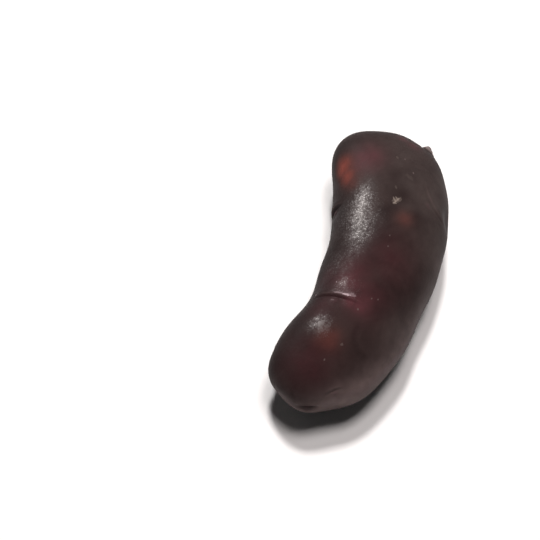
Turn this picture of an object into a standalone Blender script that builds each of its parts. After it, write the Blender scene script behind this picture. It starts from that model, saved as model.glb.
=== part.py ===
"""A dark-skinned seed potato lying on its side, as one closed body with its eyes and buds.

Metres, +Z up. The length runs along X, with the rose end, where the eyes crowd, at +X and the heel
end, where the tuber hung on its runner, at -X. The outside of its bend faces +Y. It rests on a small
flat of its belly at z = 0, and the origin lies there under the middle of the tuber's box.
"""

import math
from typing import NamedTuple

import bmesh
import bpy
import numpy as np

MM = 0.001

# Body, in millimetres: a round section on a bent spine
SPINE_LENGTH = 119.0
WIDTH = 42.4
HEIGHT_SHARE = 0.93  # of the width, from back to belly
END_BLUNTNESS = 0.78  # 1 is an ellipse, less is squarer
TAPER = 0.03  # share by which the heel end is wider than the middle, and the rose end narrower
BEND_DEG = 63.5  # between the headings of the two ends
BEND_TIGHTNESS = 1.53  # 0 bends evenly, more bends mostly in the middle
BEND_CENTRE = -0.023  # share of the spine, from its middle towards the rose end
BELLY_FLAT_DEPTH = 1.2  # how far the resting flat cuts into the round belly


class Swell(NamedTuple):
    """A broad shoulder or hollow of the body."""

    share: float  # way from the rose end to the heel end along the side
    turn_deg: float  # round the spine, from the back (0) towards the outside of the bend (90)
    height: float  # negative in a hollow
    reach: float


SWELLS = (
    Swell(0.06, -80.0, 1.2, 12.0),
    Swell(0.20, 95.0, 1.0, 14.0),
    Swell(0.45, 80.0, -3.5, 18.0),
    Swell(0.33, -75.0, -1.7, 12.0),
    Swell(0.72, 75.0, 2.3, 15.0),
    Swell(0.90, -50.0, 4.5, 12.0),
    Swell(0.97, 0.0, -3.3, 12.0),
    Swell(0.80, 68.0, 2.2, 9.0),
    Swell(0.22, -160.0, 2.0, 18.0),
    Swell(0.80, -165.0, 1.6, 18.0),
    Swell(0.50, -155.0, 1.5, 11.0),
    Swell(0.03, -140.0, -1.0, 8.0),
    Swell(0.12, 93.0, -1.1, 6.0),
    Swell(0.64, 73.0, -1.3, 4.5),
    Swell(0.42, -72.0, 0.9, 10.0),
)

# Gentle unevenness of the whole surface
LUMP_SEED = 5
LUMP_COUNT = 5
LUMP_HEIGHT = 0.16
LUMP_LENGTHS = (17.0, 34.0)

# Eyes, counted from the rose end in the spiral in which the tuber's leaves stood
EYE_COUNT = 10
EYE_STEP_DEG = -137.5
FIFTH_EYE_SHARE = 0.306
FIFTH_EYE_TURN_DEG = -24.0
EYE_CROWDING = 1.68  # how much closer the eyes stand towards the rose end
BROW_DROOP = 0.09  # of the brow's width, towards the rose end at its tips


class Sway(NamedTuple):
    """How far an eye has grown aside from the spiral, how its brow arches, and how marked it is."""

    share: float = 0.0
    turn_deg: float = 0.0
    twist_deg: float = 0.0
    droop: float = BROW_DROOP  # negative where the brow's middle hangs lower than its tips
    strength: float = 1.0  # of its brow, crease, basin and bud


EYE_SWAYS = {
    0: Sway(0.067, 134.5, -86.0),
    1: Sway(0.05),
    2: Sway(0.074, 27.0, -87.0, BROW_DROOP, 0.5),
    4: Sway(0.0, 28.0),
    5: Sway(0.003, 0.5, -14.5, 0.03, 0.65),
    7: Sway(0.102, -23.0, 53.0, -0.2, 0.4),
    9: Sway(0.006, -76.0, 60.0),
}
BROW_WIDTHS = {0: 8.0, 1: 9.0, 2: 7.0, 3: 13.0, 4: 14.0, 5: 21.0, 6: 15.0, 7: 18.0, 8: 13.0, 9: 9.0}
FULL_BROW = 14.0  # a narrower brow is lower and thinner in proportion
BROW_SETBACK = 0.8  # of the brow's line, from the eye's middle towards the heel end
RIDGE_HEIGHT = 0.75
RIDGE_SPREAD = 1.7
RIDGE_SETBACK = 1.2
CREASE_DEPTH = 0.45
CREASE_SPREAD = 0.8
CREASE_LEAD = 0.3  # leads are towards the rose end
BASIN_DEPTH = 0.8
BASIN_SPREAD = 3.0
BASIN_WIDTH_SHARE = 0.35  # of the brow's width
BASIN_LEAD = 0.8
DEEP_BASINS = {0: 3.0}  # pits that have sunk in further
BUD_HEIGHT = 0.5
BUD_RADIUS = 1.0
BUD_STRETCH = 1.5  # how much longer a bud is along its brow than across
BUD_LEAD = 1.0
PROUD_BUDS = {9: 2.1}  # heights of the buds that have started to grow, as pointed flaps
PROUD_STRETCHES = (0.8, 2.9)  # of such a bud's steep side and of its long side

# Scar of the runner at the heel end
SCAR_RADIUS = 2.4
SCAR_DEPTH = 0.8
NUB_RADIUS = 1.0
NUB_HEIGHT = 0.7

# Facets
RINGS = 62
SEGMENTS = 52
FINE_REACH_SHARE = 0.62  # of an eye's brow width, on both sides of its middle, with half-size facets
FINE_NARROWNESS = 1.5  # how much shorter that reach is along the tuber
PROFILE_SAMPLES = 2000
NORMAL_STEP = 0.02


def clear_scene() -> None:
    """Removes every object that the scene holds."""
    for obj in list(bpy.data.objects):
        bpy.data.objects.remove(obj, do_unlink=True)


def unit(vectors: np.ndarray) -> np.ndarray:
    """Vectors scaled to length one."""
    return vectors / np.linalg.norm(vectors, axis=-1, keepdims=True)


def side_profile() -> tuple[np.ndarray, np.ndarray, np.ndarray]:
    """Stations, radii and shares of the way along the side, from the rose end to the heel end."""
    angle = np.linspace(0.0, math.pi, PROFILE_SAMPLES)
    along = np.sign(np.cos(angle)) * np.abs(np.cos(angle)) ** END_BLUNTNESS
    radius = WIDTH / 2 * np.abs(np.sin(angle)) ** END_BLUNTNESS
    radius *= 1.0 - TAPER * along
    station = along * SPINE_LENGTH / 2
    way = np.concatenate([[0.0], np.cumsum(np.hypot(np.diff(station), np.diff(radius)))])
    return station, radius, way / way[-1]


def spine_course(station: np.ndarray) -> tuple[np.ndarray, np.ndarray, np.ndarray]:
    """X, Y and heading of the bent spine at stations along it."""
    share = np.linspace(-0.6, 0.6, PROFILE_SAMPLES + 1)
    pull = np.tanh(2.0 * BEND_TIGHTNESS * (share - BEND_CENTRE)) / math.tanh(BEND_TIGHTNESS)
    heading = -math.radians(BEND_DEG) / 2 * (pull - pull[PROFILE_SAMPLES // 2])
    step = np.diff(share) * SPINE_LENGTH
    mid_heading = (heading[1:] + heading[:-1]) / 2
    x = np.concatenate([[0.0], np.cumsum(np.cos(mid_heading) * step)])
    y = np.concatenate([[0.0], np.cumsum(np.sin(mid_heading) * step)])
    x -= x[PROFILE_SAMPLES // 2]
    y -= y[PROFILE_SAMPLES // 2]
    at = station / SPINE_LENGTH
    return np.interp(at, share, x), np.interp(at, share, y), np.interp(at, share, heading)


def plain_body(directions: np.ndarray) -> np.ndarray:
    """Points of the body without its swells, for directions from the middle of a ball.

    +X of the ball is the rose end, and the ball's rings are spread evenly along the body's side.
    """
    share = np.arccos(np.clip(directions[:, 0], -1.0, 1.0)) / math.pi
    turn = np.arctan2(directions[:, 1], directions[:, 2])
    station, radius, way = side_profile()
    x, y, heading = spine_course(np.interp(share, way, station))
    radius = np.interp(share, way, radius)
    outward = radius * np.sin(turn)
    up = radius * np.cos(turn) * HEIGHT_SHARE
    return np.stack([x - outward * np.sin(heading), y + outward * np.cos(heading), up], axis=1)


def direction_at(share: float, turn_deg: float) -> np.ndarray:
    """The ball's direction for a place on the body."""
    angle = share * math.pi
    turn = math.radians(turn_deg)
    return np.array([[math.cos(angle), math.sin(angle) * math.sin(turn), math.sin(angle) * math.cos(turn)]])


def tangents(directions: np.ndarray) -> tuple[np.ndarray, np.ndarray]:
    """Two unit vectors across each direction of the ball."""
    aside = np.where(np.abs(directions[:, :1]) < 0.9, [[1.0, 0.0, 0.0]], [[0.0, 0.0, 1.0]])
    first = unit(np.cross(aside, directions))
    return first, np.cross(directions, first)


def outward_normals(directions: np.ndarray) -> np.ndarray:
    """Outward normals of the plain body."""
    slopes = []
    for tangent in tangents(directions):
        ahead = plain_body(unit(directions + NORMAL_STEP * tangent))
        behind = plain_body(unit(directions - NORMAL_STEP * tangent))
        slopes.append(ahead - behind)
    return unit(np.cross(slopes[0], slopes[1]))


class Eye:
    """One eye: a brow and its crease, a shallow basin and a bud in it."""

    def __init__(self, index: int) -> None:
        sway = EYE_SWAYS.get(index, Sway())
        share = FIFTH_EYE_SHARE * (index / 5) ** EYE_CROWDING + sway.share
        turn_deg = FIFTH_EYE_TURN_DEG + (index - 5) * EYE_STEP_DEG + sway.turn_deg
        self.brow_width = BROW_WIDTHS[index]
        self.droop = sway.droop
        self.strength = sway.strength
        self.basin_depth = DEEP_BASINS.get(index, BASIN_DEPTH)
        self.bud_height = PROUD_BUDS.get(index, BUD_HEIGHT)
        self.bud_stretches = PROUD_STRETCHES if index in PROUD_BUDS else (BUD_STRETCH, BUD_STRETCH)
        direction = direction_at(share, turn_deg)
        self.middle = plain_body(direction)[0]
        self.normal = outward_normals(direction)[0]
        towards_rose = plain_body(direction_at(share - NORMAL_STEP, turn_deg))[0] - self.middle
        towards_rose = unit(towards_rose - self.normal * (towards_rose @ self.normal))
        across = np.cross(towards_rose, self.normal)
        twist = math.radians(sway.twist_deg)
        self.ahead = towards_rose * math.cos(twist) + across * math.sin(twist)
        self.aside = np.cross(self.ahead, self.normal)

    def local(self, points: np.ndarray) -> tuple[np.ndarray, np.ndarray, np.ndarray]:
        """Distances along the brow and towards the rose end, measured over the skin, and the straight one."""
        offset = points - self.middle
        straight = np.linalg.norm(offset, axis=1)
        along = offset @ self.aside
        ahead = offset @ self.ahead
        flat = np.maximum(np.hypot(along, ahead), 1e-6)
        return along * straight / flat, ahead * straight / flat, straight

    def relief(self, points: np.ndarray) -> np.ndarray:
        """Height that the eye adds to the skin at points of the plain body."""
        along, ahead, straight = self.local(points)
        share_along = 2 * along / self.brow_width
        size = min(1.0, self.brow_width / FULL_BROW)
        fade = np.clip(1.0 - share_along**2, 0.0, 1.0)
        from_brow = ahead + BROW_SETBACK * size - self.droop * self.brow_width * share_along**2
        ridge = np.exp(-(((from_brow + RIDGE_SETBACK * size) / (RIDGE_SPREAD * size)) ** 2))
        crease = np.exp(-(((from_brow - CREASE_LEAD) / CREASE_SPREAD) ** 2))
        basin_across = along / (BASIN_WIDTH_SHARE * self.brow_width)
        basin_ahead = (ahead - BASIN_LEAD) / (BASIN_SPREAD * size)
        basin = np.exp(-(basin_across**2) - basin_ahead**2)
        bud_along = along / np.where(along > 0.0, self.bud_stretches[0], self.bud_stretches[1])
        bud = np.exp(-((np.hypot(bud_along, ahead - BUD_LEAD) / BUD_RADIUS) ** 2))
        height = fade * (RIDGE_HEIGHT * size * ridge - CREASE_DEPTH * crease)
        height += self.bud_height * bud - self.basin_depth * size * basin
        height *= self.strength
        return np.where(straight < WIDTH / 2, height, 0.0)


def swell_heights(points: np.ndarray) -> np.ndarray:
    """Height of the broad shoulders and hollows at points of the plain body."""
    total = np.zeros(len(points))
    for swell in SWELLS:
        middle = plain_body(direction_at(swell.share, swell.turn_deg))[0]
        distance = np.linalg.norm(points - middle, axis=1)
        total += swell.height * np.exp(-((distance / swell.reach) ** 2))
    return total


def lump_heights(points: np.ndarray) -> np.ndarray:
    """Height of the gentle unevenness at points of the plain body."""
    draw = np.random.default_rng(LUMP_SEED)
    total = np.zeros(len(points))
    for length in np.geomspace(*LUMP_LENGTHS, LUMP_COUNT):
        heading = unit(draw.normal(size=3))
        total += LUMP_HEIGHT * np.sin(points @ heading * 2 * math.pi / length + draw.uniform(0, 2 * math.pi))
    return total


def scar_heights(points: np.ndarray) -> np.ndarray:
    """Height of the runner's scar, a dimple with a broken nub, at the heel end."""
    middle = plain_body(direction_at(1.0, 0.0))[0]
    distance = np.linalg.norm(points - middle, axis=1)
    dimple = SCAR_DEPTH * np.exp(-((distance / SCAR_RADIUS) ** 2))
    return NUB_HEIGHT * np.exp(-((distance / NUB_RADIUS) ** 2)) - dimple


def skin_points(directions: np.ndarray, eyes: list[Eye]) -> np.ndarray:
    """Points of the finished surface, in millimetres, resting on z = 0 with the origin under the box's middle."""
    points = plain_body(directions)
    height = swell_heights(points) + lump_heights(points) + scar_heights(points)
    for eye in eyes:
        height += eye.relief(points)
    skin = points + outward_normals(directions) * height[:, None]
    floor = skin[:, 2].min() + BELLY_FLAT_DEPTH
    skin[:, 2] = np.maximum(skin[:, 2], floor) - floor
    skin[:, :2] -= (skin[:, :2].max(axis=0) + skin[:, :2].min(axis=0)) / 2
    return skin


def ball_with_fine_patches(eyes: list[Eye]) -> bmesh.types.BMesh:
    """A unit ball with its poles on X and smaller facets where the eyes are."""
    ball = bmesh.new()
    bmesh.ops.create_uvsphere(ball, u_segments=SEGMENTS, v_segments=RINGS, radius=1.0)
    for vertex in ball.verts:
        vertex.co = vertex.co.zxy
    middles = np.array([face.calc_center_median().normalized() for face in ball.faces])
    places = plain_body(middles)
    fine = np.zeros(len(middles), bool)
    for eye in eyes:
        along, ahead, straight = eye.local(places)
        reach = FINE_REACH_SHARE * eye.brow_width
        fine |= (np.hypot(along, ahead * FINE_NARROWNESS) < reach) & (straight < WIDTH / 2)
    edges = {edge for face, chosen in zip(ball.faces, fine) if chosen for edge in face.edges}
    bmesh.ops.subdivide_edges(ball, edges=list(edges), cuts=1, use_grid_fill=True)
    bmesh.ops.triangulate(ball, faces=ball.faces[:])
    return ball


def skin_material() -> bpy.types.Material:
    """Dark purple-brown skin."""
    material = bpy.data.materials.new("skin")
    material.use_nodes = True
    shader = material.node_tree.nodes["Principled BSDF"]
    shader.inputs["Base Color"].default_value = (0.045, 0.026, 0.026, 1.0)
    shader.inputs["Roughness"].default_value = 0.5
    shader.inputs["Metallic"].default_value = 0.0
    return material


def make_tuber() -> bpy.types.Object:
    """The whole tuber as one object."""
    eyes = [Eye(index) for index in range(EYE_COUNT)]
    ball = ball_with_fine_patches(eyes)
    directions = unit(np.array([vertex.co for vertex in ball.verts]))
    for vertex, point in zip(ball.verts, skin_points(directions, eyes)):
        vertex.co = point * MM
    bmesh.ops.recalc_face_normals(ball, faces=ball.faces[:])
    mesh = bpy.data.meshes.new("tuber")
    ball.to_mesh(mesh)
    ball.free()
    mesh.shade_smooth()
    mesh.materials.append(skin_material())
    tuber = bpy.data.objects.new("tuber", mesh)
    bpy.context.scene.collection.objects.link(tuber)
    return tuber


def main() -> None:
    """Clears the scene and models the tuber."""
    clear_scene()
    make_tuber()


main()
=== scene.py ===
"""Looks of a dark-skinned seed potato: its fine skin, the dry scale on its grown bud, and a plain studio.

Body sizes are millimetres, as in the part's own source, whose formula and values the fine skin
repeats, so that it lies where the solid is. What Blender is given is in metres.
"""

import logging
import math
from dataclasses import dataclass, field
from enum import Enum
from functools import cached_property

import bpy
import numpy as np
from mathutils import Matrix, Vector


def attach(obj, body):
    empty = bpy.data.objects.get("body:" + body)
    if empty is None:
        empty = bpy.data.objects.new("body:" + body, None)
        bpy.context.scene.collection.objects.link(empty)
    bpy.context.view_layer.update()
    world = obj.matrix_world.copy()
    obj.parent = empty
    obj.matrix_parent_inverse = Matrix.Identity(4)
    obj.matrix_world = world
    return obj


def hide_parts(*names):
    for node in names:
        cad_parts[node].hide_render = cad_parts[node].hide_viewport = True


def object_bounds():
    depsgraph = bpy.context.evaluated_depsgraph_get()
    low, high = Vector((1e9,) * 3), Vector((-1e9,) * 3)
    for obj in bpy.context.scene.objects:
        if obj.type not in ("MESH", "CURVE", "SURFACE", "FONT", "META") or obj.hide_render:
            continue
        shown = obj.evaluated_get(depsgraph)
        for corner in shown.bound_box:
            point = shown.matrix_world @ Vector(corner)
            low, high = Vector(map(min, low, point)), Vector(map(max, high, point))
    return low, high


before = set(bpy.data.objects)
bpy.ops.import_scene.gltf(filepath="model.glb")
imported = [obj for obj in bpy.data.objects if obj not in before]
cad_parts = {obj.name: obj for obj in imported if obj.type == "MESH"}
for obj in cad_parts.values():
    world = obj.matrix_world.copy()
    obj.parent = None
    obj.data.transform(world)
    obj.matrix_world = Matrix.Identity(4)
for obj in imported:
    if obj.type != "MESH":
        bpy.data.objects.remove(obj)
SOLID_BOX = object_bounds()

MM = 0.001
LOG = logging.getLogger("seed potato")

Array = np.ndarray
Pair = tuple[float, float]
Triple = tuple[float, float, float]
Tone = tuple[float, float, float, float]


def unit(vectors: Array) -> Array:
    """Scales a vector, or the vector in each row, to length one."""
    return vectors / np.linalg.norm(vectors, axis=-1, keepdims=True)


def bell(distance: Array, reach: float) -> Array:
    """Falls smoothly from 1 at no distance, past 1/e at the reach, towards 0."""
    return np.exp(-((distance / reach) ** 2))


@dataclass(frozen=True)
class Swell:
    """A broad shoulder of the body, or a hollow where its height is negative."""

    share: float
    turn_deg: float
    height: float
    reach: float


@dataclass(frozen=True)
class Sway:
    """How far an eye has grown aside from the spiral, how its brow arches, and how marked it is.

    The droop is a share of the brow's width, and is negative where the brow's middle hangs lower
    than its tips. The strength is that of the brow, crease, basin and bud.
    """

    share: float = 0.0
    turn_deg: float = 0.0
    twist_deg: float = 0.0
    droop: float = 0.09
    strength: float = 1.0


@dataclass(frozen=True)
class BodyForm:
    """The tuber's plain form: a round section on a bent spine, with shoulders, hollows and lumps.

    A place on it is a share of the way along its side, from the rose end to the heel end, and a turn
    round the spine, from the back (0) towards the outside of the bend (90).
    """

    spine_length: float = 119.0
    width: float = 42.4
    height_share: float = 0.93
    end_bluntness: float = 0.78
    taper: float = 0.03
    bend_deg: float = 63.5
    bend_tightness: float = 1.53
    bend_centre: float = -0.023
    course_reach: float = 0.6
    belly_flat_depth: float = 1.2
    swells: tuple[Swell, ...] = tuple(
        Swell(*row)
        for row in (
            (0.06, -80.0, 1.2, 12.0), (0.2, 95.0, 1.0, 14.0), (0.45, 80.0, -3.5, 18.0),
            (0.33, -75.0, -1.7, 12.0), (0.72, 75.0, 2.3, 15.0), (0.9, -50.0, 4.5, 12.0),
            (0.97, 0.0, -3.3, 12.0), (0.8, 68.0, 2.2, 9.0), (0.22, -160.0, 2.0, 18.0),
            (0.8, -165.0, 1.6, 18.0), (0.5, -155.0, 1.5, 11.0), (0.03, -140.0, -1.0, 8.0),
            (0.12, 93.0, -1.1, 6.0), (0.64, 73.0, -1.3, 4.5), (0.42, -72.0, 0.9, 10.0),
        )
    )
    lump_seed: int = 5
    lump_count: int = 5
    lump_height: float = 0.16
    lump_lengths: Pair = (17.0, 34.0)
    profile_samples: int = 2000
    normal_step: float = 0.02

    def side_profile(self) -> tuple[Array, Array, Array]:
        """Traces the body's side.

        Returns:
            Stations along the spine, radii there, and shares of the way from the rose end.
        """
        angle = np.linspace(0.0, math.pi, self.profile_samples)
        along = np.sign(np.cos(angle)) * np.abs(np.cos(angle)) ** self.end_bluntness
        radius = self.width / 2 * np.abs(np.sin(angle)) ** self.end_bluntness
        radius *= 1.0 - self.taper * along
        station = along * self.spine_length / 2
        way = np.concatenate([[0.0], np.cumsum(np.hypot(np.diff(station), np.diff(radius)))])
        return station, radius, way / way[-1]

    def spine_course(self, station: Array) -> tuple[Array, Array, Array]:
        """Follows the bent spine.

        Args:
            station: Distances along the spine from its middle.

        Returns:
            X, Y and heading there.
        """
        middle = self.profile_samples // 2
        share = np.linspace(-self.course_reach, self.course_reach, self.profile_samples + 1)
        pull = np.tanh(2.0 * self.bend_tightness * (share - self.bend_centre))
        pull /= math.tanh(self.bend_tightness)
        heading = -math.radians(self.bend_deg) / 2 * (pull - pull[middle])
        step = np.diff(share) * self.spine_length
        mid_heading = (heading[1:] + heading[:-1]) / 2
        x = np.concatenate([[0.0], np.cumsum(np.cos(mid_heading) * step)])
        y = np.concatenate([[0.0], np.cumsum(np.sin(mid_heading) * step)])
        x -= x[middle]
        y -= y[middle]
        at = station / self.spine_length
        return np.interp(at, share, x), np.interp(at, share, y), np.interp(at, share, heading)

    def plain(self, directions: Array) -> Array:
        """Finds points of the body without its swells.

        Args:
            directions: Directions from the middle of a ball, whose +X is the rose end.

        Returns:
            One point for each direction.
        """
        share = np.arccos(np.clip(directions[:, 0], -1.0, 1.0)) / math.pi
        turn = np.arctan2(directions[:, 1], directions[:, 2])
        station, radius, way = self.side_profile()
        x, y, heading = self.spine_course(np.interp(share, way, station))
        radius = np.interp(share, way, radius)
        outward = radius * np.sin(turn)
        up = radius * np.cos(turn) * self.height_share
        return np.stack([x - outward * np.sin(heading), y + outward * np.cos(heading), up], axis=1)

    def direction_at(self, share: float, turn_deg: float) -> Array:
        """Gives the ball's direction for a place on the body.

        Args:
            share: Share of the way from the rose end.
            turn_deg: Turn round the spine.

        Returns:
            One row holding the direction.
        """
        angle = share * math.pi
        turn = math.radians(turn_deg)
        side = math.sin(angle)
        return np.array([[math.cos(angle), side * math.sin(turn), side * math.cos(turn)]])

    def normals(self, directions: Array) -> Array:
        """Finds the outward normals of the plain body.

        Args:
            directions: Directions from the middle of the ball.

        Returns:
            One normal for each direction.
        """
        # Aside of X, or of Z near the ends, where X itself is the direction.
        aside = np.where(np.abs(directions[:, :1]) < 0.9, [[1.0, 0.0, 0.0]], [[0.0, 0.0, 1.0]])
        first = unit(np.cross(aside, directions))
        slopes = []
        for tangent in (first, np.cross(directions, first)):
            ahead = self.plain(unit(directions + self.normal_step * tangent))
            behind = self.plain(unit(directions - self.normal_step * tangent))
            slopes.append(ahead - behind)
        return unit(np.cross(slopes[0], slopes[1]))

    def place(self, share: float, turn_deg: float) -> tuple[Array, Array]:
        """Finds the point and the outward normal of one place of the plain body."""
        direction = self.direction_at(share, turn_deg)
        return self.plain(direction)[0], self.normals(direction)[0]

    def mound(self, points: Array, spot: "Swell | Patch") -> Array:
        """Falls from 1 in the middle of a swell or patch towards 0 round it."""
        middle, _ = self.place(spot.share, spot.turn_deg)
        return bell(np.linalg.norm(points - middle, axis=1), spot.reach)

    def swell_heights(self, points: Array) -> Array:
        """Adds up the heights of the broad shoulders and hollows."""
        return sum(swell.height * self.mound(points, swell) for swell in self.swells)

    def lump_heights(self, points: Array) -> Array:
        """Adds up the gentle unevenness.

        Args:
            points: Points of the plain body.

        Returns:
            Height at each point.
        """
        draw = np.random.default_rng(self.lump_seed)
        total = np.zeros(len(points))
        for length in np.geomspace(*self.lump_lengths, self.lump_count):
            heading = unit(draw.normal(size=3))
            wave = points @ heading * 2 * math.pi / length + draw.uniform(0, 2 * math.pi)
            total += self.lump_height * np.sin(wave)
        return total


@dataclass(frozen=True)
class EyeRule:
    """Where the eyes stand, counted from the rose end in a spiral, and how large each one is."""

    count: int = 10
    step_deg: float = -137.5
    fifth_share: float = 0.306
    fifth_turn_deg: float = -24.0
    crowding: float = 1.68
    brow_widths: tuple[float, ...] = (8.0, 9.0, 7.0, 13.0, 14.0, 21.0, 15.0, 18.0, 13.0, 9.0)
    basin_depth: float = 0.8
    deep_basins: dict[int, float] = field(default_factory=lambda: {0: 3.0})
    bud_height: float = 0.5
    bud_stretch: float = 1.5
    proud_buds: dict[int, float] = field(default_factory=lambda: {9: 2.1})
    proud_stretches: Pair = (0.8, 2.9)
    sways: dict[int, Sway] = field(
        default_factory=lambda: {
            0: Sway(0.067, 134.5, -86.0),
            1: Sway(0.05),
            2: Sway(0.074, 27.0, -87.0, 0.09, 0.5),
            4: Sway(0.0, 28.0),
            5: Sway(0.003, 0.5, -14.5, 0.03, 0.65),
            7: Sway(0.102, -23.0, 53.0, -0.2, 0.4),
            9: Sway(0.006, -76.0, 60.0),
        }
    )


@dataclass
class Eye:
    """One eye: an arched brow with a crease under it, a shallow basin, and a bud in the basin.

    The marks of the crease and the lip are how far they lie behind them and how far they reach. That
    of the pit is its width, how far it lies ahead, and its reach that way.
    """

    form: BodyForm
    rule: EyeRule
    index: int
    full_brow: float = 14.0
    brow_setback: float = 0.8
    ridge_height: float = 0.75
    ridge_spread: float = 1.7
    ridge_setback: float = 1.2
    crease_depth: float = 0.45
    crease_spread: float = 0.8
    crease_lead: float = 0.3
    basin_spread: float = 3.0
    basin_width_share: float = 0.35
    basin_lead: float = 0.8
    bud_radius: float = 1.0
    bud_lead: float = 1.0
    lip_height: float = 0.22
    lip_spread: float = 0.3
    lip_lead: float = -0.55
    cut_depth: float = 0.06
    cut_spread: float = 0.28
    wrinkle_height: float = 0.04
    wrinkle_length: float = 1.1
    wrinkle_reach: float = 2.6
    fine_narrowing: float = 2.1
    # Where the painted shade of the crease and the pit, and the painted highlight on the lip, are laid.
    crease_mark: Pair = (0.15, 0.34)
    lip_mark: Pair = (0.1, 0.4)
    pit_mark: Triple = (2.6, 0.9, 1.5)
    fine_share: float = 0.54
    fine_lead: float = 0.1
    fine_reach: float = 2.3

    def __post_init__(self) -> None:
        """Works out the eye's place and the way it faces."""
        sway = self.rule.sways.get(self.index, Sway())
        share = self.rule.fifth_share * (self.index / 5) ** self.rule.crowding + sway.share
        turn_deg = self.rule.fifth_turn_deg + (self.index - 5) * self.rule.step_deg + sway.turn_deg
        self.brow_width = self.rule.brow_widths[self.index]
        self.droop = sway.droop
        self.strength = sway.strength
        self.proud = self.index in self.rule.proud_buds
        self.basin_depth = self.rule.deep_basins.get(self.index, self.rule.basin_depth)
        self.bud_height = self.rule.proud_buds.get(self.index, self.rule.bud_height)
        self.bud_stretches = self.rule.proud_stretches if self.proud else (self.rule.bud_stretch,) * 2
        self.size = min(1.0, self.brow_width / self.full_brow)
        self.middle, self.normal = self.form.place(share, turn_deg)
        step = self.form.direction_at(share - self.form.normal_step, turn_deg)
        towards_rose = self.form.plain(step)[0] - self.middle
        towards_rose = unit(towards_rose - self.normal * (towards_rose @ self.normal))
        across = np.cross(towards_rose, self.normal)
        twist = math.radians(sway.twist_deg)
        self.ahead = towards_rose * math.cos(twist) + across * math.sin(twist)
        self.aside = np.cross(self.ahead, self.normal)

    def local(self, points: Array) -> tuple[Array, Array, Array, Array]:
        """Measures points from the eye, over the skin.

        Args:
            points: Points of the plain body.

        Returns:
            Distances along the brow, towards the rose end, and past the brow's arched line that way,
            and the eye's strength where the points are near it, else 0.
        """
        offset = points - self.middle
        straight = np.linalg.norm(offset, axis=1)
        along = offset @ self.aside
        ahead = offset @ self.ahead
        flat = np.maximum(np.hypot(along, ahead), 1e-6)
        along, ahead = along * straight / flat, ahead * straight / flat
        arch = self.droop * self.brow_width * (2 * along / self.brow_width) ** 2
        past = ahead + self.brow_setback * self.size - arch
        return along, ahead, past, np.where(straight < self.form.width / 2, self.strength, 0.0)

    def from_bud(self, along: Array, ahead: Array) -> Array:
        """Measures distances from the bud's middle, shortened on each side by the bud's stretch."""
        stretch = np.where(along > 0.0, self.bud_stretches[0], self.bud_stretches[1])
        return np.hypot(along / stretch, ahead - self.bud_lead)

    def fade(self, along: Array, narrowing: float = 2.0) -> Array:
        """Falls from 1 at the brow's middle to 0 at its tips, or sooner where it is narrowed."""
        return np.clip(1.0 - (narrowing * along / self.brow_width) ** 2, 0.0, 1.0)

    def relief(self, points: Array) -> Array:
        """Works out the height that the eye adds to the skin, as the solid has it.

        Args:
            points: Points of the plain body.

        Returns:
            Height at each point.
        """
        along, ahead, past, near = self.local(points)
        ridge = bell(past + self.ridge_setback * self.size, self.ridge_spread * self.size)
        crease = bell(past - self.crease_lead, self.crease_spread)
        basin_across = along / (self.basin_width_share * self.brow_width)
        basin_ahead = (ahead - self.basin_lead) / (self.basin_spread * self.size)
        basin = np.exp(-(basin_across**2) - basin_ahead**2)
        bud = bell(self.from_bud(along, ahead), self.bud_radius)
        height = self.fade(along) * (self.ridge_height * self.size * ridge - self.crease_depth * crease)
        return near * (height + self.bud_height * bud - self.basin_depth * self.size * basin)

    def fine_relief(self, points: Array) -> Array:
        """Works out what is too fine for the solid: the crease's cut and lip, and the brow's wrinkles.

        Args:
            points: Points of the plain body.

        Returns:
            Height at each point.
        """
        along, _, past, near = self.local(points)
        lip = bell(past - self.lip_lead, self.lip_spread)
        cut = bell(past - self.crease_lead, self.cut_spread)
        wrinkles = np.cos(2 * math.pi * past / self.wrinkle_length) * bell(past, self.wrinkle_reach)
        height = self.size * (self.lip_height * lip - self.cut_depth * cut) + self.wrinkle_height * wrinkles
        return near * self.fade(along, self.fine_narrowing) * height

    def masks(self, points: Array) -> dict[str, Array]:
        """Marks where the eye's parts are, for the skin's colours; the crease and pit take painted shade,
        the lip a painted highlight.

        Args:
            points: Points of the plain body.

        Returns:
            Strength, from 0 to 1, of the crease, the brow's lip, the pit, the dry bud and the live bud.
        """
        along, ahead, past, near = self.local(points)
        fade = self.fade(along)
        deep = np.clip(self.basin_depth - self.rule.basin_depth, 0.0, 1.0)
        bud = np.exp(-((self.from_bud(along, ahead) / self.bud_radius) ** 4))
        width, lead, reach = self.pit_mark
        return {
            "crease": near * fade * bell(past - self.crease_lead + self.crease_mark[0], self.crease_mark[1]),
            "lip": near * fade * bell(past - self.lip_lead + self.lip_mark[0], self.lip_mark[1]),
            "pit": near * deep * bell(along, width) * bell(ahead - lead, reach),
            "dry": near * bud * self.proud,
            "bud": near * bud * (not self.proud),
        }

    def fine_area(self, points: Array) -> Array:
        """Tells where the skin needs fine faces: round the brow, the crease and the bud.

        Args:
            points: Points of the plain body.

        Returns:
            Whether each point lies there.
        """
        along, _, past, near = self.local(points)
        across = np.abs(along) < self.fine_share * self.brow_width
        return across & (np.abs(past - self.fine_lead) < self.fine_reach) & (near > 0.0)


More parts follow.
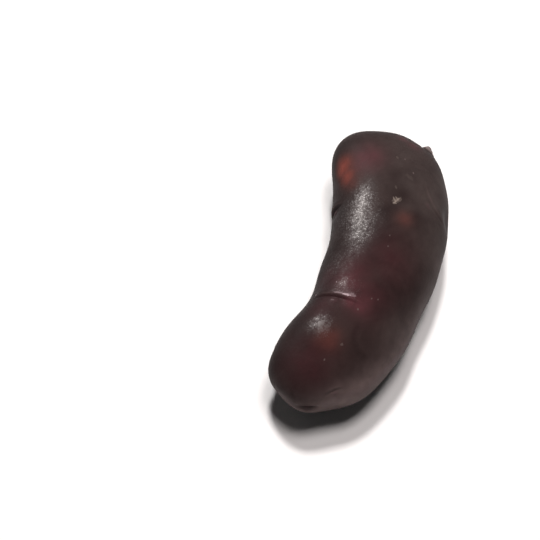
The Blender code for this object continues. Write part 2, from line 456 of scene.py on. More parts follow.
@dataclass(frozen=True)
class RunnerScar:
    """The scar of the runner at the heel end: a dimple with a broken nub and a ragged rim."""

    form: BodyForm
    radius: float = 2.4
    depth: float = 0.8
    nub_radius: float = 1.0
    nub_height: float = 0.7
    rim_radius: float = 2.1
    moat_radius: float = 1.35
    ring_heights: Pair = (0.22, -0.3)
    line_width: float = 0.36
    coarse_fray: float = 0.16
    coarse_waves: int = 4
    coarse_start: float = 1.0
    fine_fray: float = 0.09
    fine_waves: int = 9

    def distance(self, points: Array) -> Array:
        """Measures how far points are from the scar's middle."""
        return np.linalg.norm(points - self.form.place(1.0, 0.0)[0], axis=1)

    def relief(self, points: Array) -> Array:
        """Works out the height that the scar adds to the skin, as the solid has it."""
        distance = self.distance(points)
        return self.nub_height * bell(distance, self.nub_radius) - self.depth * bell(distance, self.radius)

    def frayed(self, points: Array) -> Array:
        """Measures distances from the scar's middle that are ragged round it, as its rim is.

        Args:
            points: Points of the plain body.

        Returns:
            Distance of each point.
        """
        offset = points - self.form.place(1.0, 0.0)[0]
        turn = np.arctan2(offset[:, 1], offset[:, 2])
        fray = 1.0 + self.coarse_fray * np.sin(self.coarse_waves * turn + self.coarse_start)
        fray += self.fine_fray * np.sin(self.fine_waves * turn)
        return self.distance(points) / fray

    def ring(self, frayed: Array, radius: float) -> Array:
        """Marks a line round the scar, from 0 to 1."""
        return bell(frayed - radius, self.line_width)

    def fine_relief(self, points: Array) -> Array:
        """Works out the ragged rim and the moat inside it, which are too fine for the solid."""
        rings = zip((self.rim_radius, self.moat_radius), self.ring_heights)
        return sum(height * self.ring(self.frayed(points), radius) for radius, height in rings)


class Zone(Enum):
    """Kinds of patch in which the skin's looks drift; some of them paint light or shade into its colour."""

    # Greyer skin, partly painted sheen: lighter patches on the back and top stand in for a broad soft
    # reflection.
    ASH = "ash_and_sheen"
    # Painted light: the lower rim and the ends lightened as the floor's bounce would light them.
    DUST = "painted_rim_light"
    PLUM = "plum"
    RUST = "rust"
    ROSE = "rose"
    # Painted shadow on the left flank and near the rose end, as neighbouring potatoes would cast, and a few
    # darker blotches.
    SHADE = "shade"
    POLISH = "polish"


@dataclass(frozen=True)
class Patch:
    """A soft patch of another look."""

    zone: Zone
    share: float
    turn_deg: float
    reach: float
    strength: float


class WearAndGlint(Enum):
    """Kinds of small mark on the skin: scuffs, pores and specks of its own, and painted glints."""

    SCUFF = "scuff"
    # Painted highlight: pale strokes for the brow edge's shine and for small glints.
    SHEEN = "sheen"
    PORE = "pore"
    SPECK = "speck"


@dataclass(frozen=True)
class Mark:
    """A small mark: a scuffed streak, a painted glint, a corky pore or a dark speck, longest along its
    heading.
    """

    mark_kind: WearAndGlint
    share: float
    turn_deg: float
    heading_deg: float
    length: float
    width: float
    strength: float


@dataclass(frozen=True)
class Stroke:
    """A mark in its place on the finished skin."""

    mark: Mark
    middle: Triple
    along: Triple
    across: Triple
    outward: Triple


class Signal:
    """A shader socket that adds nodes when it is used in an expression."""

    def __init__(self, recipe: "Recipe", socket: bpy.types.NodeSocket) -> None:
        """Keeps the socket and the recipe that it belongs to."""
        self.recipe = recipe
        self.socket = socket

    def __add__(self, other: "Signal | float") -> "Signal":
        """Adds."""
        return self.recipe.maths("ADD", self, other)

    def __radd__(self, other: float) -> "Signal":
        """Adds, from the left."""
        return self.recipe.maths("ADD", other, self)

    def __sub__(self, other: "Signal | float") -> "Signal":
        """Subtracts."""
        return self.recipe.maths("SUBTRACT", self, other)

    def __mul__(self, other: "Signal | float") -> "Signal":
        """Multiplies."""
        return self.recipe.maths("MULTIPLY", self, other)

    def __rmul__(self, other: float) -> "Signal":
        """Multiplies, from the left."""
        return self.recipe.maths("MULTIPLY", other, self)

    def __truediv__(self, other: "Signal | float") -> "Signal":
        """Divides."""
        return self.recipe.maths("DIVIDE", self, other)

    def ramp(self, low: float, high: float) -> "Signal":
        """Rises smoothly from 0 at low to 1 at high, or falls where low is above high."""
        values = {0: self, 1: low, 2: high}
        return self.recipe.node("ShaderNodeMapRange", {"interpolation_type": "SMOOTHSTEP"}, values)


class Recipe:
    """One node material under construction."""

    def __init__(self, name: str) -> None:
        """Starts an empty material.

        Args:
            name: The material's name.
        """
        self.material = bpy.data.materials.new(name)
        self.material.use_nodes = True
        self.tree = self.material.node_tree
        self.tree.nodes.clear()

    def add(self, kind: str, settings: dict, inputs: dict) -> bpy.types.Node:
        """Adds a node.

        Args:
            kind: The node's type.
            settings: Properties of the node, set first.
            inputs: Values or signals by socket name or number.

        Returns:
            The node.
        """
        made = self.tree.nodes.new(kind)
        for name, value in settings.items():
            setattr(made, name, value)
        for name, value in inputs.items():
            if isinstance(value, Signal):
                self.tree.links.new(value.socket, made.inputs[name])
            else:
                made.inputs[name].default_value = value
        return made

    def node(self, kind: str, settings: dict, inputs: dict, output: int = 0) -> Signal:
        """Adds a node and reads the output socket of that number."""
        return Signal(self, self.add(kind, settings, inputs).outputs[output])

    def maths(self, operation: str, first: Signal | float, second: Signal | float = 0.0) -> Signal:
        """Adds a Math node."""
        return self.node("ShaderNodeMath", {"operation": operation}, {0: first, 1: second})

    def mix(self, share: Signal | float, low: Signal | Tone, high: Signal | Tone) -> Signal:
        """Mixes two colours: the share is that of the second."""
        settings = {"data_type": "RGBA", "clamp_factor": True}
        return self.node("ShaderNodeMix", settings, {0: share, 6: low, 7: high}, output=2)

    def vector(self, operation: str, first: Signal, second: Triple) -> Signal:
        """Adds a Vector Math node: a dot product gives a number, anything else a vector."""
        output = 1 if operation == "DOT_PRODUCT" else 0
        return self.node("ShaderNodeVectorMath", {"operation": operation}, {0: first, 1: second}, output)

    @cached_property
    def places(self) -> Signal:
        """Gives the point's place in millimetres, at which the patterns are read."""
        coordinates = self.node("ShaderNodeTexCoord", {}, {}, output=3)
        return self.node("ShaderNodeVectorMath", {"operation": "SCALE"}, {0: coordinates, "Scale": 1 / MM})

    def attribute(self, name: str) -> Signal:
        """Reads a value stored in the mesh."""
        return self.node("ShaderNodeAttribute", {"attribute_name": name}, {}, output=2)

    def noise(self, length: float, detail: float = 2.0, distortion: float = 0.0) -> Signal:
        """Adds soft noise about 0.5, with features up to the length and finer layers in them."""
        values = {"Vector": self.places, "Scale": 1 / length, "Detail": detail, "Distortion": distortion}
        return self.node("ShaderNodeTexNoise", {}, values)

    def cells(self, length: float, output: int = 0) -> Signal:
        """Adds a cell pattern: how far, in cells, its seeds are (output 0), or random colours (1)."""
        return self.node("ShaderNodeTexVoronoi", {}, {"Vector": self.places, "Scale": 1 / length}, output)

    def lot(self, length: float) -> Signal:
        """Draws a number from 0 to 1 for each cell; adding nothing turns its random colour into one."""
        return self.maths("ADD", self.cells(length, 1))

    def finish(
        self,
        colour: Signal | Tone,
        roughness: Signal | float,
        height: Signal | None = None,
        **others: Signal | float,
    ) -> None:
        """Ends the material in one Principled shader.

        Args:
            colour: Base colour.
            roughness: Roughness.
            height: Relief in millimetres for the bump, if any.
            others: Other sockets by name, with _ for each space.
        """
        inputs = {"Base Color": colour, "Roughness": roughness}
        if height is not None:
            bump = {"Strength": 1.0, "Distance": MM, "Height": height}
            inputs["Normal"] = self.node("ShaderNodeBump", {}, bump)
        inputs.update({name.replace("_", " "): value for name, value in others.items()})
        shader = self.node("ShaderNodeBsdfPrincipled", {}, inputs)
        self.add("ShaderNodeOutputMaterial", {}, {"Surface": shader})


@dataclass(frozen=True)
class Layer:
    """A tone laid where the mesh stores a value, evenly and then more where the skin is cloudy.

    The layers are laid in their order, so a later one covers an earlier one.
    """

    source: str
    tone: Tone
    even: float = 0.45
    cloudy: float = 1.1


@dataclass(frozen=True)
class SkinFinish:
    """Thin satin skin: dark purple-brown with redder, plummier and greyer patches and a beaded gloss; sheen,
    rim light, shadow, shade and glints are painted into it.
    """

    dark: Tone = (0.0178, 0.0108, 0.0106, 1.0)
    light: Tone = (0.0355, 0.023, 0.0218, 1.0)
    layers: tuple[Layer, ...] = (
        # Greyer skin and painted sheen on the back and top.
        Layer(Zone.ASH.value, (0.062, 0.048, 0.045, 1.0)),
        # Painted rim light from the floor's bounce.
        Layer(Zone.DUST.value, (0.205, 0.148, 0.143, 1.0)),
        # Painted shadow, and a few darker blotches.
        Layer(Zone.SHADE.value, (0.0125, 0.0062, 0.0064, 1.0)),
        Layer(Zone.PLUM.value, (0.058, 0.016, 0.02, 1.0)),
        Layer(Zone.ROSE.value, (0.095, 0.03, 0.036, 1.0)),
        Layer(Zone.RUST.value, (0.2, 0.05, 0.037, 1.0)),
        Layer("scar", (0.09, 0.06, 0.045, 1.0), 0.8, 0.0),
        # Painted shade: the deep pits and the scar's moat darkened as shadow in them would darken them.
        Layer("pit", (0.0035, 0.002, 0.0022, 1.0), 0.9, 0.0),
        # Painted shade in the eyes' creases, under the brows.
        Layer("crease", (0.0035, 0.002, 0.0022, 1.0), 0.1, 0.0),
        # Painted highlight: a pale band along each brow's lip, where its edge catches the light.
        Layer("lip", (0.205, 0.148, 0.143, 1.0), 0.0, 0.4),
        Layer("bud", (0.09, 0.05, 0.055, 1.0), 0.45, 0.0),
        Layer("dry", (0.27, 0.215, 0.208, 1.0), 0.5, 0.8),
    )
    tones: dict[WearAndGlint, Tone] = field(
        default_factory=lambda: {
            WearAndGlint.SCUFF: (0.33, 0.27, 0.23, 1.0),
            # Painted highlight: the glints' pale tone.
            WearAndGlint.SHEEN: (0.42, 0.32, 0.34, 1.0),
            WearAndGlint.PORE: (0.115, 0.086, 0.08, 1.0),
            WearAndGlint.SPECK: (0.005, 0.0035, 0.0035, 1.0),
        }
    )
    roughness: float = 0.55
    roughness_drift: float = 0.14
    pit_roughness: float = 0.2
    mark_roughness: float = 0.1
    specular: float = 0.05
    ior: float = 1.45
    wax_roughness: float = 0.42
    wax_share: float = 0.42
    wax_base: float = 0.35
    wax_drift: float = 0.75
    wax_edges: Pair = (0.32, 0.62)
    bead_share: float = 1.9
    bead_spacing: float = 0.56
    bead_edges: Pair = (0.65, 0.15)
    bead_lots: Pair = (0.2, 0.85)
    patchiness_length: float = 1.8
    mottle_length: float = 13.0
    mottle_detail: float = 3.0
    mottle_swirl: float = 0.6
    mottle_edges: Pair = (0.34, 0.66)
    mottle_weight: float = 0.7
    cloud_length: float = 4.0
    cloud_detail: float = 4.0
    cloud_weight: float = 0.5
    darkening: float = 0.1
    grain_length: float = 0.62
    grain_height: float = 0.07
    crinkle_length: float = 1.5
    crinkle_height: float = 0.045
    pore_spacing: float = 6.0
    pore_radius: float = 0.3
    pore_softness: float = 0.5
    pore_share: float = 0.45
    pore_weight: float = 0.7
    mark_depth: float = 3.0
    mark_height: float = 0.05
    mark_raggedness: float = 2.4
    mark_edges: Pair = (1.3, 0.5)

    def material(self, strokes: list[Stroke]) -> bpy.types.Material:
        """Builds the skin's material.

        Args:
            strokes: The small marks in their places.

        Returns:
            The material.
        """
        recipe = Recipe("potato_skin")
        mottle = recipe.noise(self.mottle_length, self.mottle_detail, self.mottle_swirl)
        mottle = mottle.ramp(*self.mottle_edges)
        cloud = recipe.noise(self.cloud_length, self.cloud_detail)
        grain = recipe.noise(self.grain_length)
        crinkle = recipe.cells(self.crinkle_length)
        lightness = mottle * self.mottle_weight + cloud * self.cloud_weight - self.darkening
        colour = recipe.mix(lightness, self.dark, self.light)
        # The layers include painted light: sheen, rim light, shadow, shade in pits and creases, and the
        # lip's highlight.
        for layer in self.layers:
            share = recipe.attribute(layer.source) * (layer.even + layer.cloudy * cloud)
            colour = recipe.mix(share, colour, layer.tone)
        colour = recipe.mix(self.pores(recipe) * self.pore_weight, colour, self.tones[WearAndGlint.PORE])
        stroke_total = 0.0
        # Scuffs, pores and specks are the skin's own; SHEEN strokes are painted glints.
        for stroke in strokes:
            strength = self.stroke_mask(recipe, grain, stroke) * stroke.mark.strength
            colour = recipe.mix(strength, colour, self.tones[stroke.mark.mark_kind])
            stroke_total = strength + stroke_total
        roughness = self.roughness - self.roughness_drift / 2 + self.roughness_drift * cloud
        roughness = roughness + self.pit_roughness * recipe.attribute("pit") + self.mark_roughness * stroke_total
        height = self.grain_height * grain + self.crinkle_height * crinkle - self.mark_height * stroke_total
        recipe.finish(
            colour,
            roughness,
            height,
            IOR=self.ior,
            Specular_IOR_Level=self.specular,
            Coat_Weight=self.wax(recipe),
            Coat_Roughness=self.wax_roughness,
        )
        return recipe.material

    def wax(self, recipe: Recipe) -> Signal:
        """Lays the coat that makes the skin glossy: patchy, and thickest on its beads.

        Args:
            recipe: The material.

        Returns:
            The coat's weight.
        """
        bead = recipe.cells(self.bead_spacing).ramp(*self.bead_edges)
        bead = bead * recipe.lot(self.bead_spacing).ramp(*self.bead_lots)
        patchy = recipe.noise(self.patchiness_length).ramp(*self.wax_edges)
        polish = recipe.attribute(Zone.POLISH.value) * (self.wax_base + self.wax_drift * patchy)
        return recipe.maths("MINIMUM", polish * (self.wax_share + self.bead_share * bead), 1.0)

    def pores(self, recipe: Recipe) -> Signal:
        """Scatters the skin's small corky pores, in some of the cells of a loose pattern.

        Args:
            recipe: The material.

        Returns:
            Up to 1 on a pore and 0 off it.
        """
        radius = self.pore_radius / self.pore_spacing
        edges = (radius * (1.0 + self.pore_softness), radius * (1.0 - self.pore_softness))
        near = recipe.cells(self.pore_spacing).ramp(*edges)
        return near * recipe.lot(self.pore_spacing).ramp(1.0 - self.pore_share, 1.0)

    def stroke_mask(self, recipe: Recipe, grain: Signal, stroke: Stroke) -> Signal:
        """Draws one small mark with a ragged edge.

        Args:
            recipe: The material.
            grain: Fine noise that frays the edge.
            stroke: The mark in its place.

        Returns:
            1 on the mark and 0 off it.
        """
        offset = recipe.vector("SUBTRACT", recipe.places, stroke.middle)
        spans = (
            (stroke.along, stroke.mark.length / 2),
            (stroke.across, stroke.mark.width / 2),
            (stroke.outward, self.mark_depth),
        )
        away = self.mark_raggedness * grain - self.mark_raggedness / 2
        for axis, reach in spans:
            part = recipe.vector("DOT_PRODUCT", offset, axis) / reach
            away = away + part * part
        return away.ramp(*self.mark_edges)


@dataclass
class FineSkin:
    """The tuber's whole surface, much finer than the solid's facets."""

    form: BodyForm
    eyes: list[Eye]
    scar: RunnerScar
    finish: SkinFinish
    piece: bpy.types.Object = field(init=False)
    plain: Array = field(init=False)
    skin: Array = field(init=False)
    segments: int = 210
    rings: int = 185
    eye_cuts: int = 3
    moat_shade: float = 0.8
    mark_step: float = 0.01
    patches: tuple[Patch, ...] = tuple(
        Patch(zone, *row)
        for zone, rows in {
            Zone.RUST: (
                (0.795, -52.0, 3.6, 1.0), (0.758, -49.0, 3.2, 0.8), (0.73, -43.0, 3.2, 0.25),
                (0.585, 10.0, 3.0, 0.18), (0.212, 0.0, 4.2, 0.22),
            ),
            Zone.ROSE: (
                (0.784, -22.0, 6.0, 0.62), (0.845, 33.0, 1.8, 0.45), (0.818, 42.0, 2.4, 0.35),
                (0.322, -7.0, 2.6, 0.68), (0.329, 2.0, 3.2, 0.64), (0.366, -20.0, 5.0, 0.5),
            ),
            Zone.PLUM: (
                (0.471, 3.5, 10.0, 0.35), (0.35, 2.0, 9.0, 0.4), (0.142, 2.0, 9.0, 0.35),
                (0.42, -20.0, 8.0, 0.45), (0.272, -29.0, 6.0, 0.35), (0.365, -48.0, 6.0, 0.35),
            ),
            # Greyer skin, and painted sheen where the back and top are lightened as a broad soft reflection
            # would light them.
            Zone.ASH: (
                (0.78, 12.5, 15.0, 0.5), (0.68, 40.0, 17.0, 0.6), (0.56, 55.0, 12.0, 0.55),
                (0.69, 72.0, 9.0, 0.85), (0.64, 42.0, 4.0, 0.75), (0.34, 50.0, 7.0, 0.5),
            ),
            # Painted light bounced from the floor: strongest along the lower rim near the rose end, fading
            # towards the heel.
            Zone.DUST: (
                (0.53, 77.0, 6.5, 0.18), (0.028, -52.0, 4.0, 0.3), (0.01, 40.0, 4.0, 0.35),
                *((0.025 * step, 79.0, 6.5, 1.05 - 0.043 * step) for step in range(1, 20)),
            ),
            # The first three are darker blotches beside the highlight; the rest are painted shadow on the
            # left flank and near the rose end, as neighbouring potatoes would cast.
            Zone.SHADE: (
                (0.655, 9.0, 2.8, 0.45), (0.6, 22.0, 2.2, 0.4), (0.612, -7.0, 3.4, 0.4),
                (0.05, 20.0, 12.0, 0.75), (0.11, -50.0, 13.0, 0.7), (0.64, -66.0, 10.0, 0.7),
                (0.33, -62.0, 16.0, 0.75),
            ),
            Zone.POLISH: (
                (0.643, -33.0, 5.6, 1.0), (0.6, -34.0, 7.0, 1.0), (0.55, -33.0, 5.5, 0.75),
                (0.48, -34.0, 5.0, 0.24), (0.42, -42.0, 5.0, 0.35), (0.345, -14.0, 3.4, 1.8),
                (0.229, -14.0, 2.8, 2.4),
            ),
        }.items()
        for row in rows
    )
    marks: tuple[Mark, ...] = tuple(
        Mark(mark_kind, *row)
        for mark_kind, rows in {
            WearAndGlint.SCUFF: (
                (0.638, 2.4, 120.0, 3.6, 2.4, 0.16), (0.638, 2.8, 135.0, 3.8, 0.7, 0.34),
                (0.64, 0.4, 20.0, 2.6, 0.6, 0.3), (0.643, 2.8, 26.0, 2.0, 0.5, 0.26),
                (0.629, 0.4, 83.0, 1.7, 0.9, 0.3), (0.707, 18.0, 42.0, 3.8, 1.5, 0.035),
                (0.676, 2.7, 10.0, 1.6, 0.7, 0.08), (0.771, 11.0, 11.0, 1.4, 0.8, 0.08),
            ),
            # Painted glints: the brow lip's shine, a soft haze round it, and small glints.
            WearAndGlint.SHEEN: (
                (0.326, -21.7, 106.0, 4.0, 0.6, 0.36), (0.331, -13.7, 102.0, 3.0, 0.8, 0.95),
                (0.338, -9.0, 100.0, 2.8, 1.5, 0.24), (0.339, -13.0, 103.0, 5.2, 1.7, 0.06),
                (0.333, -78.7, 51.0, 1.3, 0.65, 0.8), (0.307, -54.0, 68.0, 1.1, 0.6, 0.6),
                (0.354, -31.0, 64.0, 0.8, 0.5, 0.35), (0.302, -24.0, 102.0, 1.7, 0.45, 0.14),
            ),
            WearAndGlint.PORE: (
                (0.72, 23.3, 0.0, 0.8, 0.6, 0.7), (0.764, 19.0, 0.0, 0.7, 0.5, 0.6),
                (0.312, 3.7, 40.0, 0.9, 0.6, 0.6), (0.357, 8.3, 0.0, 0.7, 0.5, 0.5),
                (0.364, 14.0, 0.0, 0.7, 0.5, 0.5), (0.223, 15.3, 0.0, 1.1, 0.9, 0.45),
                (0.169, 14.0, 20.0, 0.9, 0.6, 0.6), (0.502, 0.0, 30.0, 0.7, 0.5, 0.5),
                (0.531, -1.0, 0.0, 0.7, 0.5, 0.5),
            ),
            WearAndGlint.SPECK: (
                (0.465, 92.0, 100.0, 2.4, 1.3, 0.65), (0.447, 90.0, 140.0, 1.1, 0.7, 0.6),
            ),
        }.items()
        for row in rows
    )

    def build(self) -> bpy.types.Object:
        """Models the skin from a ball.

        Returns:
            The finished piece.
        """
        bpy.ops.mesh.primitive_uv_sphere_add(segments=self.segments, ring_count=self.rings, radius=1.0)
        self.piece = bpy.context.object
        self.piece.name = "tuber_skin"
        self.cut_finer()
        directions = self.directions("vertices", "co")
        self.plain = self.form.plain(directions)
        self.skin = self.shape(directions)
        mesh = self.piece.data
        mesh.vertices.foreach_set("co", (self.skin * MM).ravel())
        mesh.update()
        bpy.ops.object.shade_smooth()
        self.mark_zones()
        mesh.materials.append(self.finish.material([self.stroke(mark) for mark in self.marks]))
        return self.piece

    def directions(self, elements: str, place: str) -> Array:
        """Reads the ball's elements as directions from its middle, with its pole at the rose end.

        Args:
            elements: The mesh's vertices or polygons.
            place: Name of the place of one of them.

        Returns:
            One direction in each row.
        """
        items = getattr(self.piece.data, elements)
        places = np.empty(len(items) * 3)
        items.foreach_get(place, places)
        return unit(places.reshape(-1, 3)[:, [2, 0, 1]])

    def cut_finer(self) -> None:
        """Subdivides the ball's faces where the eyes will be."""
        centres = self.form.plain(self.directions("polygons", "center"))
        fine = np.any([eye.fine_area(centres) for eye in self.eyes], axis=0)
        bpy.ops.object.mode_set(mode="EDIT")
        bpy.ops.mesh.select_mode(type="FACE")
        bpy.ops.mesh.select_all(action="DESELECT")
        bpy.ops.object.mode_set(mode="OBJECT")
        self.piece.data.polygons.foreach_set("select", fine)
        bpy.ops.object.mode_set(mode="EDIT")
        bpy.ops.mesh.subdivide(number_cuts=self.eye_cuts)
        bpy.ops.object.mode_set(mode="OBJECT")

    def shape(self, directions: Array) -> Array:
        """Raises and sinks the plain body's points into the finished skin.

        Args:
            directions: The ball's directions.

        Returns:
            The skin's points, resting on z = 0 with the origin under the middle of its box.
        """
        plain = self.plain
        coarse = self.form.swell_heights(plain) + self.form.lump_heights(plain)
        coarse += self.scar.relief(plain)
        fine = self.scar.fine_relief(plain)
        for eye in self.eyes:
            coarse += eye.relief(plain)
            fine += eye.fine_relief(plain)
        normals = self.form.normals(directions)
        solid = plain + normals * coarse[:, None]
        skin = solid + normals * fine[:, None]
        floor = solid[:, 2].min() + self.form.belly_flat_depth
        middle = (solid[:, :2].max(axis=0) + solid[:, :2].min(axis=0)) / 2
        skin -= np.array([middle[0], middle[1], floor])
        skin[:, 2] = np.maximum(skin[:, 2], 0.0)
        return skin

    def on_skin(self, plain_point: Array, reach: float = 0.5) -> Array:
        """Finds where a point of the plain body ends up on the finished skin, averaged over the reach."""
        distance = np.linalg.norm(self.plain - plain_point, axis=1)
        return np.average(self.skin, axis=0, weights=bell(distance - distance.min(), reach))

    def stroke(self, mark: Mark) -> Stroke:
        """Puts a small mark in its place.

        Args:
            mark: The mark.

        Returns:
            The mark with its middle and its own axes on the skin.
        """
        point, normal = self.form.place(mark.share, mark.turn_deg)
        step, _ = self.form.place(mark.share - self.mark_step, mark.turn_deg)
        towards_rose = step - point
        towards_rose = unit(towards_rose - normal * (towards_rose @ normal))
        sideways = np.cross(normal, towards_rose)
        heading = math.radians(mark.heading_deg)
        along = towards_rose * math.cos(heading) + sideways * math.sin(heading)
        across = np.cross(normal, along)
        rows = (self.on_skin(point), along, across, normal)
        return Stroke(mark, *(tuple(float(value) for value in row) for row in rows))

    def mark_zones(self) -> None:
        """Stores in the mesh what the material reads from it."""
        masks: dict[str, Array] = {}
        for eye in self.eyes:
            for name, strength in eye.masks(self.plain).items():
                masks[name] = np.maximum(masks.get(name, 0.0), strength)
        for patch in self.patches:
            strength = patch.strength * self.form.mound(self.plain, patch)
            masks[patch.zone.value] = np.maximum(masks.get(patch.zone.value, 0.0), strength)
        frayed = self.scar.frayed(self.plain)
        masks["scar"] = np.exp(-((frayed / self.scar.nub_radius) ** 4))
        # Painted shade in the scar's moat, laid with the pits' dark tone.
        moat = self.moat_shade * self.scar.ring(frayed, self.scar.moat_radius)
        masks["pit"] = np.maximum(masks["pit"], moat)
        for name, strength in masks.items():
            stored = self.piece.data.attributes.new(name, "FLOAT", "POINT")
            stored.data.foreach_set("value", strength.astype(np.float32))


@dataclass(frozen=True)
class ScaleFinish:
    """Dry, papery, grey-brown leaf tissue with fine fibres."""

    pale: Tone = (0.24, 0.21, 0.205, 1.0)
    brown: Tone = (0.13, 0.095, 0.09, 1.0)
    fibre_length: float = 0.5
    fibre_detail: float = 3.0
    fibre_swirl: float = 0.4
    cloud_length: float = 2.0
    fibre_height: float = 0.04
    fibre_weight: float = 0.6
    cloud_weight: float = 0.7
    brown_edges: Pair = (0.45, 0.85)
    roughness: float = 0.62
    roughness_drift: float = 0.1
    specular: float = 0.3

    def material(self) -> bpy.types.Material:
        """Builds the scale's material.

        Returns:
            The material.
        """
        recipe = Recipe("dry_scale")
        fibre = recipe.noise(self.fibre_length, self.fibre_detail, self.fibre_swirl)
        cloud = recipe.noise(self.cloud_length)
        share = (self.fibre_weight * fibre + self.cloud_weight * cloud).ramp(*self.brown_edges)
        colour = recipe.mix(share, self.pale, self.brown)
        roughness = self.roughness + self.roughness_drift * fibre
        recipe.finish(colour, roughness, self.fibre_height * fibre, Specular_IOR_Level=self.specular)
        return recipe.material


@dataclass
class DryScale:
    """The withered scale leaf on a proud bud: a thin, pointed fin along the eye."""

    eye: Eye
    skin: FineSkin
    finish: ScaleFinish
    steep_side: float = 1.2
    long_side: float = 7.6
    height: float = 0.36
    root: float = 0.5
    thickness: float = 0.3
    lean: float = 0.35
    waviness: float = 0.18
    wave_rate: float = 1.7
    notch_height: float = 0.07
    notch_rate: float = 5.0
    crest_roundness: float = 1.8
    foot_reach: float = 0.3
    columns: int = 26
    rows: int = 7

    def build(self) -> bpy.types.Object:
        """Models the scale from a flat sheet.

        Returns:
            The finished piece.
        """
        bpy.ops.mesh.primitive_grid_add(x_subdivisions=self.columns, y_subdivisions=self.rows, size=1.0)
        piece = bpy.context.object
        piece.name = "dry_scale"
        for vertex in piece.data.vertices:
            vertex.co = self.place(vertex.co.x + 0.5, vertex.co.y + 0.5)
        wall = piece.modifiers.new("wall", "SOLIDIFY")
        wall.thickness = self.thickness * MM
        wall.offset = 0.0
        round_off = piece.modifiers.new("round_off", "SUBSURF")
        round_off.levels = 2
        for modifier in (wall, round_off):
            bpy.ops.object.modifier_apply(modifier=modifier.name)
        bpy.ops.object.mode_set(mode="EDIT")
        bpy.ops.mesh.select_all(action="SELECT")
        bpy.ops.mesh.normals_make_consistent(inside=False)
        bpy.ops.object.mode_set(mode="OBJECT")
        bpy.ops.object.shade_smooth()
        piece.data.materials.append(self.finish.material())
        return piece

    def place(self, across: float, up: float) -> Vector:
        """Puts a point of the sheet in its place.

        Args:
            across: Share of the way from the long side's end to the steep side's.
            up: Share of the way from the root to the crest.

        Returns:
            The point, in metres.
        """
        eye = self.eye
        along = across * (self.long_side + self.steep_side) - self.long_side
        side = self.steep_side if along > 0.0 else self.long_side
        crest = self.height * (1.0 - (abs(along) / side) ** self.crest_roundness)
        crest += self.notch_height * math.sin(self.notch_rate * along)
        wave = self.waviness * math.sin(self.wave_rate * along) + self.lean * up * up
        plain_foot = eye.middle + eye.aside * along + eye.ahead * eye.bud_lead
        foot = self.skin.on_skin(plain_foot, self.foot_reach)
        point = foot + eye.normal * ((crest + self.root) * up - self.root) + eye.ahead * wave
        return Vector(point * MM)


@dataclass(frozen=True)
class Lamp:
    """A soft square lamp, placed by its direction from the tuber as the camera sees it."""

    name: str
    right: float
    far: float
    up: float
    distance: float
    size: float
    power: float
    colour: Triple
    lights_skin: bool = True
    shines: bool = True


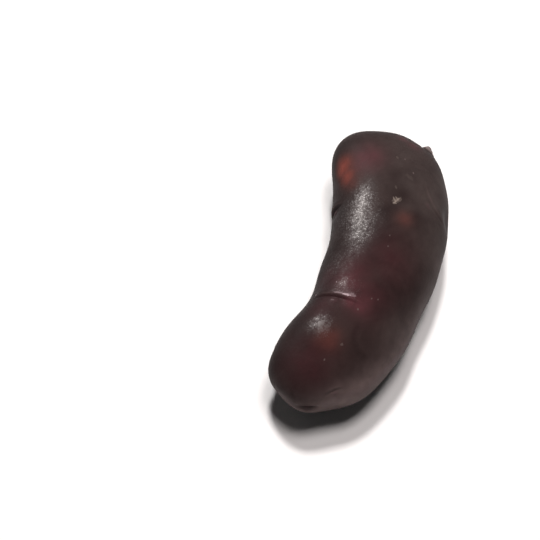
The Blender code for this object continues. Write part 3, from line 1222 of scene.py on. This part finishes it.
@dataclass(frozen=True)
class Studio:
    """A plain pale floor, soft lamps and the camera, which all stand round the middle of the tuber's box."""

    middle: Vector
    azimuth_deg: float = 108.0
    elevation_deg: float = 62.0
    distance: float = 0.42
    pixels: float = 540.0
    pixels_per_mm: float = 2.8
    tuber_pixel: Pair = (366.5, 270.7)
    sensor: float = 36.0
    floor_size: float = 6.0
    floor_tone: Tone = (0.88, 0.875, 0.87, 1.0)
    floor_roughness: float = 0.9
    floor_specular: float = 0.1
    fill: float = 0.035
    backdrop: float = 0.9
    lamps: tuple[Lamp, ...] = (
        Lamp("main_lamp", -0.04, 0.34, 1.0, 1.4, 0.16, 16.0, (1.0, 0.97, 0.96), shines=False),
        Lamp("second_lamp", 0.1, 0.06, 1.0, 1.4, 0.3, 10.5, (1.0, 0.94, 0.93), shines=False),
        Lamp("sheen_lamp", -0.6, 0.62, 0.5, 0.9, 0.24, 11.0, (1.0, 0.93, 0.9), lights_skin=False),
    )

    def axes(self) -> tuple[Vector, Vector, Vector]:
        """Works out the directions of the view on the floor.

        Returns:
            Right and away from the camera, both level, and the way that the camera looks.
        """
        azimuth = math.radians(self.azimuth_deg)
        elevation = math.radians(self.elevation_deg)
        right = Vector((math.cos(azimuth), math.sin(azimuth), 0.0))
        far = Vector((-math.sin(azimuth), math.cos(azimuth), 0.0))
        look = far * math.cos(elevation) - Vector((0.0, 0.0, math.sin(elevation)))
        return right, far, look

    def build(self) -> None:
        """Sets up the floor, the lamps, the world and the camera."""
        self.make_floor()
        for lamp in self.lamps:
            self.make_lamp(lamp)
        self.make_world()
        self.make_camera()
        bpy.context.scene.view_settings.view_transform = "Standard"

    def make_floor(self) -> None:
        """Lays the floor."""
        bpy.ops.mesh.primitive_plane_add(size=self.floor_size, location=(0.0, 0.0, 0.0))
        floor = bpy.context.object
        floor.name = "floor"
        recipe = Recipe("pale_floor")
        recipe.finish(self.floor_tone, self.floor_roughness, Specular_IOR_Level=self.floor_specular)
        floor.data.materials.append(recipe.material)

    def make_lamp(self, lamp: Lamp) -> None:
        """Hangs one lamp.

        Args:
            lamp: Its place and strength.
        """
        right, far, _ = self.axes()
        towards = (right * lamp.right + far * lamp.far + Vector((0.0, 0.0, lamp.up))).normalized()
        data = bpy.data.lights.new(lamp.name, "AREA")
        data.size = lamp.size
        data.energy = lamp.power
        data.color = lamp.colour
        hung = bpy.data.objects.new(lamp.name, data)
        hung.location = self.middle + towards * lamp.distance
        hung.rotation_euler = (-towards).to_track_quat("-Z", "Y").to_euler()
        hung.visible_diffuse = lamp.lights_skin
        hung.visible_glossy = lamp.shines
        bpy.context.scene.collection.objects.link(hung)

    def make_world(self) -> None:
        """Gives a faint even fill, and a pale backdrop where the floor ends."""
        world = bpy.data.worlds.new("studio")
        world.use_nodes = True
        tree = world.node_tree
        background = tree.nodes["Background"]
        background.inputs["Color"].default_value = (1.0, 1.0, 1.0, 1.0)
        seen = tree.nodes.new("ShaderNodeLightPath")
        strength = tree.nodes.new("ShaderNodeMapRange")
        strength.inputs["To Min"].default_value = self.fill
        strength.inputs["To Max"].default_value = self.backdrop
        tree.links.new(seen.outputs["Is Camera Ray"], strength.inputs["Value"])
        tree.links.new(strength.outputs["Result"], background.inputs["Strength"])
        bpy.context.scene.world = world

    def make_camera(self) -> None:
        """Places the camera so that the tuber's middle falls on its pixel."""
        right, _, look = self.axes()
        up = right.cross(look)
        half = self.pixels / 2
        scale = self.pixels_per_mm / MM
        aim = self.middle - right * ((self.tuber_pixel[0] - half) / scale)
        aim += up * ((self.tuber_pixel[1] - half) / scale)
        data = bpy.data.cameras.new("camera")
        data.sensor_width = self.sensor
        data.lens = self.sensor * scale * self.distance / self.pixels
        camera = bpy.data.objects.new("camera", data)
        camera.location = aim - look * self.distance
        camera.rotation_euler = look.to_track_quat("-Z", "Y").to_euler()
        bpy.context.scene.collection.objects.link(camera)
        bpy.context.scene.camera = camera


def main() -> None:
    """Builds the skin and the studio, and notes the sizes."""
    logging.basicConfig(level=logging.INFO, format="%(name)s: %(message)s")
    form = BodyForm()
    rule = EyeRule()
    eyes = [Eye(form, rule, index) for index in range(rule.count)]
    skin = FineSkin(form, eyes, RunnerScar(form), SkinFinish())
    pieces = [skin.build()]
    pieces += [DryScale(eye, skin, ScaleFinish()).build() for eye in eyes if eye.proud]
    for piece in pieces:
        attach(piece, "root")
        piece.data.calc_loop_triangles()
        LOG.info("%s: %d triangles", piece.name, len(piece.data.loop_triangles))
    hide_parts("tuber")
    low, high = (Vector(corner) for corner in SOLID_BOX)
    Studio((low + high) / 2).build()


if __name__ == "__main__":
    main()
